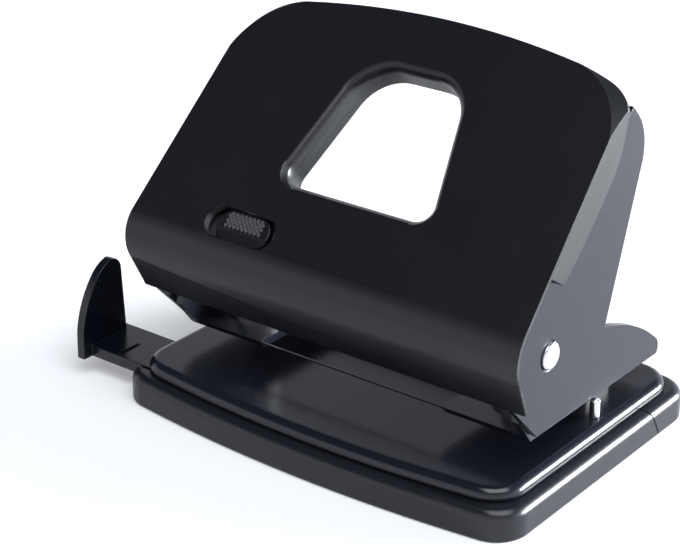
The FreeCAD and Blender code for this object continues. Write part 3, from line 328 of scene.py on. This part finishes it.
def inWorld(across, along, out):
    """A point of the handle's own frame, given in millimetres, in the row frame."""
    back = (along * math.cos(handleTurn) - out * math.sin(handleTurn)) / 1000
    high = (along * math.sin(handleTurn) + out * math.cos(handleTurn)) / 1000
    return Vector((across / 1000, pivot.y + back, pivot.z + high))


def repeatGroup():
    """Sets a copy of a piece, turned, on every point of the mesh that carries it."""
    group = bpy.data.node_groups.new("repeatOnPoints", "GeometryNodeTree")
    for name, kind in (("Points", "NodeSocketGeometry"), ("Piece", "NodeSocketObject"),
                       ("Turn", "NodeSocketVector"), ("Finish", "NodeSocketMaterial")):
        group.interface.new_socket(name, in_out="INPUT", socket_type=kind)
    group.interface.new_socket("Result", in_out="OUTPUT", socket_type="NodeSocketGeometry")
    inputs = group.nodes.new("NodeGroupInput")
    outputs = group.nodes.new("NodeGroupOutput")
    source = group.nodes.new("GeometryNodeObjectInfo")
    spread = group.nodes.new("GeometryNodeInstanceOnPoints")
    real = group.nodes.new("GeometryNodeRealizeInstances")
    finish = group.nodes.new("GeometryNodeSetMaterial")
    group.links.new(inputs.outputs["Piece"], source.inputs["Object"])
    group.links.new(inputs.outputs["Points"], spread.inputs["Points"])
    group.links.new(source.outputs["Geometry"], spread.inputs["Instance"])
    group.links.new(inputs.outputs["Turn"], spread.inputs["Rotation"])
    group.links.new(spread.outputs["Instances"], real.inputs["Geometry"])
    group.links.new(real.outputs["Geometry"], finish.inputs["Geometry"])
    group.links.new(inputs.outputs["Finish"], finish.inputs["Material"])
    group.links.new(finish.outputs["Geometry"], outputs.inputs["Result"])
    return group


repeatOnPoints = repeatGroup()


def socketOf(group, name):
    return next(item.identifier for item in group.interface.items_tree if item.name == name)


def grownMesh(group, values, start):
    """The mesh that a Geometry Nodes group makes of a starting mesh and its named inputs."""
    holder = bpy.data.objects.new("growing", start)
    bpy.context.scene.collection.objects.link(holder)
    pattern = holder.modifiers.new("pattern", "NODES")
    pattern.node_group = group
    for name, value in values.items():
        pattern[socketOf(group, name)] = value
    done = bakedMesh(holder)
    bpy.data.objects.remove(holder)
    return done


def repeated(places, source, turn, material):
    points = bpy.data.meshes.new("points")
    points.from_pydata([tuple(place) for place in places], [], [])
    piece = bpy.data.objects.new("source", source)
    bpy.context.scene.collection.objects.link(piece)
    mesh = grownMesh(repeatOnPoints, {"Piece": piece, "Turn": turn, "Finish": material}, points)
    bpy.data.objects.remove(piece)
    return mesh


def shadedMesh(name, vertices, faces):
    mesh = bpy.data.meshes.new(name)
    mesh.from_pydata(vertices, [], faces)
    mesh.shade_smooth()
    return mesh


def turnedRows(radii, heights, sides, heightAt=None):
    """Rings of points for a turned piece, in metres; heightAt may press a shape into a ring."""
    rows = []
    for radius, height in zip(radii, heights):
        row = []
        for step in range(sides):
            angle = 2 * math.pi * step / sides
            x = radius * math.cos(angle)
            y = radius * math.sin(angle)
            z = height - (heightAt(x, y) if heightAt else 0)
            row.append((x / 1000, y / 1000, z / 1000))
        rows.append(row)
    return rows


def turnedMesh(name, rows):
    """A closed mesh over rings of points, from the first ring to the last."""
    sides = len(rows[0])
    vertices = [point for row in rows for point in row]
    faces = []
    for level in range(len(rows) - 1):
        for step in range(sides):
            first = level * sides + step
            second = level * sides + (step + 1) % sides
            faces.append((first, second, second + sides, first + sides))
    faces.append(tuple(range(sides))[::-1])
    faces.append(tuple(range((len(rows) - 1) * sides, len(rows) * sides)))
    return shadedMesh(name, vertices, faces)


screwShape = {"radius": 2.75, "thick": 1.5, "edge": 0.5, "shank": 1.25, "crossLong": 1.6,
              "crossWide": 0.36, "crossDeep": 0.95, "slope": 0.22, "sides": 72}


def crossRecess(x, y):
    """Depth of the driver's cross at a point of a screw's head, in millimetres."""
    values = screwShape
    depth = 0.0
    for along, across in ((abs(x), abs(y)), (abs(y), abs(x))):
        inside = min((values["crossWide"] - across), (values["crossLong"] - along)) / values["slope"]
        depth = max(depth, values["crossDeep"] * min(1.0, max(0.0, inside)))
    return depth * (1 - 0.35 * math.hypot(x, y) / values["crossLong"])


def screwMesh(shankLong):
    """A screw with its head's foot at z 0 and a domed, cross-recessed head above it."""
    values = screwShape
    foot = turnedRows([values["shank"] * 0.7, values["shank"], values["shank"], values["radius"],
                       values["radius"]],
                      [-shankLong, -shankLong + 0.4, 0, 0, values["thick"] - values["edge"]],
                      values["sides"])
    count = 16
    radii = [values["radius"] * math.cos(math.pi / 2 * step / count) for step in range(1, count)]
    rise = [values["thick"] - values["edge"] * (radius / values["radius"]) ** 2 for radius in radii]
    radii += [0.2, 0.05]
    rise += [values["thick"], values["thick"]]
    return turnedMesh("screw", foot + turnedRows(radii, rise, values["sides"], crossRecess))


rivetShape = {"radius": 3.5, "thick": 1.2, "shank": 2.0, "sides": 48, "count": 8}


def rivetMesh(shankLong):
    """A rivet with a domed head at both ends; its shank runs from z 0 up."""
    values = rivetShape
    turns = [math.pi / 2 * step / values["count"] for step in range(values["count"])]
    dome = [(values["radius"] * math.cos(turn), values["thick"] * math.sin(turn)) for turn in turns]
    dome += [(0.3, values["thick"])]
    radii = [radius for radius, rise in reversed(dome)] + [values["shank"], values["shank"]]
    heights = [-rise for radius, rise in reversed(dome)] + [0, shankLong]
    radii += [radius for radius, rise in dome]
    heights += [shankLong + rise for radius, rise in dome]
    return turnedMesh("rivet", turnedRows(radii, heights, values["sides"]))


# places and shank lengths in millimetres; the cover's screws stand in the handle's frame
coverScrews = {"across": (-38.0, 38.0), "along": (10.5, 43.0), "out": 13.0, "shank": 4.5}
trayScrews = {"across": (-38.0, 38.0), "back": 27.5, "low": 1.9, "shank": 8.6}
bracketRivets = {"across": (-36.0, -12.0, 12.0, 36.0), "back": 14.0, "low": 9.4, "shank": 8.6}
coverScrewPlaces = [inWorld(x, y, coverScrews["out"]) for x in coverScrews["across"]
                    for y in coverScrews["along"]]
dressed("coverScrewSet", repeated(coverScrewPlaces, screwMesh(coverScrews["shank"]),
                                  (math.pi + handleTurn, 0, 0), plainSteel), plainSteel, "cover_screws")
trayScrewPlaces = [Vector((x, trayScrews["back"], trayScrews["low"])) / 1000 for x in trayScrews["across"]]
dressed("trayScrewSet", repeated(trayScrewPlaces, screwMesh(trayScrews["shank"]), (math.pi, 0, 0),
                                 plainSteel), plainSteel, "tray_screws")
rivetPlaces = [Vector((x, bracketRivets["back"], bracketRivets["low"])) / 1000
               for x in bracketRivets["across"]]
dressed("bracketRivetSet", repeated(rivetPlaces, rivetMesh(bracketRivets["shank"]), (0, 0, 0), plainSteel),
        plainSteel, "bracket_rivets")

# raised grip points on the lock's knob, in the handle's frame
ribShape = {"pitch": 1.25, "foot": 0.6, "top": 0.22, "rise": 0.45, "level": 19.88, "across": -24.1,
            "along": 1.35, "halfLong": 5.6, "halfTall": 2.1, "corner": 1.9}


def ribPlaces():
    values = ribShape
    places = []
    columns = int(values["halfLong"] / values["pitch"])
    rows = int(values["halfTall"] / values["pitch"])
    for column in range(-columns, columns + 1):
        for row in range(-rows, rows + 1):
            for shift in (0, 0.5):
                x = (column + shift) * values["pitch"]
                y = (row + shift) * values["pitch"]
                if abs(x) < values["halfLong"] and abs(y) < values["halfTall"]:
                    places.append(inWorld(values["across"] + x, values["along"] + y, values["level"]))
    return places


ribMesh = turnedMesh("rib", turnedRows([ribShape["foot"], ribShape["foot"], ribShape["top"]],
                                       [-0.2, 0, ribShape["rise"]], 4))
for polygon in ribMesh.polygons:
    polygon.use_smooth = False
# the ribs take the lighter grey, a painted sheen on the knob's textured top
ribs = bpy.data.objects.new("knobRibs", repeated(ribPlaces(), ribMesh, (handleTurn, 0, 0), knobRibSheen))
bpy.context.scene.collection.objects.link(ribs)
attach(ribs, bodyOf["lock_slider"])

# punch springs, each a fixed coil from the base up to the punch; 5.5 turns, where the CAD springs have 4
springShape = {"radius": 4.2, "wire": 0.4, "turns": 5.5, "low": 24.2, "high": 34.25, "steps": 40,
               "leftAcross": -40.0, "rightAcross": 40.0, "back": -12.0}


def coilGroup():
    group = bpy.data.node_groups.new("coil", "GeometryNodeTree")
    group.interface.new_socket("Start", in_out="INPUT", socket_type="NodeSocketGeometry")
    for name in ("Radius", "Wire", "Turns", "Height"):
        group.interface.new_socket(name, in_out="INPUT", socket_type="NodeSocketFloat")
    group.interface.new_socket("Steps", in_out="INPUT", socket_type="NodeSocketInt")
    group.interface.new_socket("Place", in_out="INPUT", socket_type="NodeSocketVector")
    group.interface.new_socket("Finish", in_out="INPUT", socket_type="NodeSocketMaterial")
    group.interface.new_socket("Result", in_out="OUTPUT", socket_type="NodeSocketGeometry")
    inputs = group.nodes.new("NodeGroupInput")
    outputs = group.nodes.new("NodeGroupOutput")
    spiral = group.nodes.new("GeometryNodeCurveSpiral")
    ring = group.nodes.new("GeometryNodeCurvePrimitiveCircle")
    ring.inputs["Resolution"].default_value = 12
    wire = group.nodes.new("GeometryNodeCurveToMesh")
    wire.inputs["Fill Caps"].default_value = True
    move = group.nodes.new("GeometryNodeTransform")
    real = group.nodes.new("GeometryNodeRealizeInstances")
    smooth = group.nodes.new("GeometryNodeSetShadeSmooth")
    finish = group.nodes.new("GeometryNodeSetMaterial")
    for name, socket in (("Radius", "Start Radius"), ("Radius", "End Radius"), ("Turns", "Rotations"),
                         ("Height", "Height"), ("Steps", "Resolution")):
        group.links.new(inputs.outputs[name], spiral.inputs[socket])
    group.links.new(inputs.outputs["Wire"], ring.inputs["Radius"])
    group.links.new(spiral.outputs["Curve"], wire.inputs["Curve"])
    group.links.new(ring.outputs["Curve"], wire.inputs["Profile Curve"])
    group.links.new(wire.outputs["Mesh"], move.inputs["Geometry"])
    group.links.new(inputs.outputs["Place"], move.inputs["Translation"])
    group.links.new(move.outputs["Geometry"], smooth.inputs["Geometry"])
    group.links.new(smooth.outputs["Geometry"], real.inputs["Geometry"])
    group.links.new(real.outputs["Geometry"], finish.inputs["Geometry"])
    group.links.new(inputs.outputs["Finish"], finish.inputs["Material"])
    group.links.new(finish.outputs["Geometry"], outputs.inputs["Result"])
    return group


coil = coilGroup()
for side, across in (("left", springShape["leftAcross"]), ("right", springShape["rightAcross"])):
    foot = Vector((across, springShape["back"], springShape["low"])) / 1000
    head = Vector((across, springShape["back"], springShape["high"])) / 1000
    mesh = grownMesh(coil, {"Radius": springShape["radius"] / 1000, "Wire": springShape["wire"] / 1000,
                            "Turns": springShape["turns"], "Height": head.z - foot.z,
                            "Steps": springShape["steps"], "Place": tuple(foot), "Finish": springSteel},
                     bpy.data.meshes.new("start"))
    spring = bpy.data.objects.new("spring_" + side, mesh)
    bpy.context.scene.collection.objects.link(spring)
    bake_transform(spring)
    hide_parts("punch_spring_" + side)
print("repeated pieces made")

# ---- floor, lights and camera ----
studio = {
    "floorWhite": 0.86, "floorGlow": 0.22, "horizon": (0.95, 0.98, 1.06), "overhead": (0.055, 0.06, 0.085),
    "horizonTop": 0.3, "overheadFoot": 0.58, "keyPower": 18.5, "sidePower": 68.0,
    "lightTint": (0.93, 0.96, 1.0), "floorReach": 6.0,
    "keyPlace": (0.5, -0.35, 1.25), "keyTarget": (0, 0, 0), "keyWide": 1.2, "keyTall": 1.1,
    "sidePlace": (0.85, 0.88, 0.14), "sideTarget": (0.03, 0, 0.05), "sideWide": 0.7, "sideTall": 0.3,
}
viewpoint = {"sensor": 36, "lens": 105.88, "right": (0.7884, 0.6151, 0),
             "up": (-0.2543, 0.3259, 0.9105), "place": (0.2569, -0.3594, 0.2347)}


def makeFloor():
    mesh = bpy.data.meshes.new("floor")
    far = studio["floorReach"]
    mesh.from_pydata([(-far, -far, 0), (far, -far, 0), (far, far, 0), (-far, far, 0)], [], [(0, 1, 2, 3)])
    floor = bpy.data.objects.new("floor", mesh)
    bpy.context.scene.collection.objects.link(floor)
    material, tree, shader = newMaterial("floorPaper")
    shader.inputs["Base Color"].default_value = (*[studio["floorWhite"]] * 3, 1)
    shader.inputs["Roughness"].default_value = 0.9
    shader.inputs["Specular IOR Level"].default_value = 0.0
    path = tree.nodes.new("ShaderNodeLightPath")
    glow = tree.nodes.new("ShaderNodeMath")
    glow.operation = "MULTIPLY"
    glow.inputs[1].default_value = studio["floorGlow"]
    tree.links.new(path.outputs["Is Camera Ray"], glow.inputs[0])
    shader.inputs["Emission Color"].default_value = (1, 1, 1, 1)
    tree.links.new(glow.outputs["Value"], shader.inputs["Emission Strength"])
    mesh.materials.append(material)


def makeWorld():
    world = bpy.data.worlds.new("studioAir")
    bpy.context.scene.world = world
    world.use_nodes = True
    tree = world.node_tree
    background = tree.nodes["Background"]
    coordinates = tree.nodes.new("ShaderNodeTexCoord")
    parts = tree.nodes.new("ShaderNodeSeparateXYZ")
    tree.links.new(coordinates.outputs["Generated"], parts.inputs["Vector"])
    ramp = tree.nodes.new("ShaderNodeValToRGB")
    ramp.color_ramp.elements[0].position = studio["horizonTop"]
    ramp.color_ramp.elements[0].color = (*studio["horizon"], 1)
    ramp.color_ramp.elements[1].position = studio["overheadFoot"]
    ramp.color_ramp.elements[1].color = (*studio["overhead"], 1)
    tree.links.new(parts.outputs["Z"], ramp.inputs["Fac"])
    tree.links.new(ramp.outputs["Color"], background.inputs["Color"])


def areaLight(name, place, target, width, height, power):
    light = bpy.data.lights.new(name, "AREA")
    light.shape = "RECTANGLE"
    light.size = width
    light.size_y = height
    light.energy = power
    light.color = studio["lightTint"]
    holder = bpy.data.objects.new(name, light)
    holder.location = place
    holder.rotation_euler = (Vector(target) - Vector(place)).to_track_quat("-Z", "Y").to_euler()
    bpy.context.scene.collection.objects.link(holder)
    return holder


def makeCamera():
    data = bpy.data.cameras.new("camera")
    data.sensor_width = viewpoint["sensor"]
    data.lens = viewpoint["lens"]
    holder = bpy.data.objects.new("camera", data)
    right = Vector(viewpoint["right"]).normalized()
    up = Vector(viewpoint["up"])
    back = right.cross(up).normalized()
    up = back.cross(right)
    turn = Matrix((right, up, back)).transposed().to_4x4()
    holder.matrix_world = Matrix.Translation(viewpoint["place"]) @ turn
    bpy.context.scene.collection.objects.link(holder)
    bpy.context.scene.camera = holder


makeFloor()
makeWorld()
areaLight("topSoftbox", studio["keyPlace"], studio["keyTarget"], studio["keyWide"], studio["keyTall"],
          studio["keyPower"])
areaLight("rightSoftbox", studio["sidePlace"], studio["sideTarget"], studio["sideWide"],
          studio["sideTall"], studio["sidePower"])
makeCamera()
bpy.context.scene.view_settings.view_transform = "Standard"
print("studio ready")
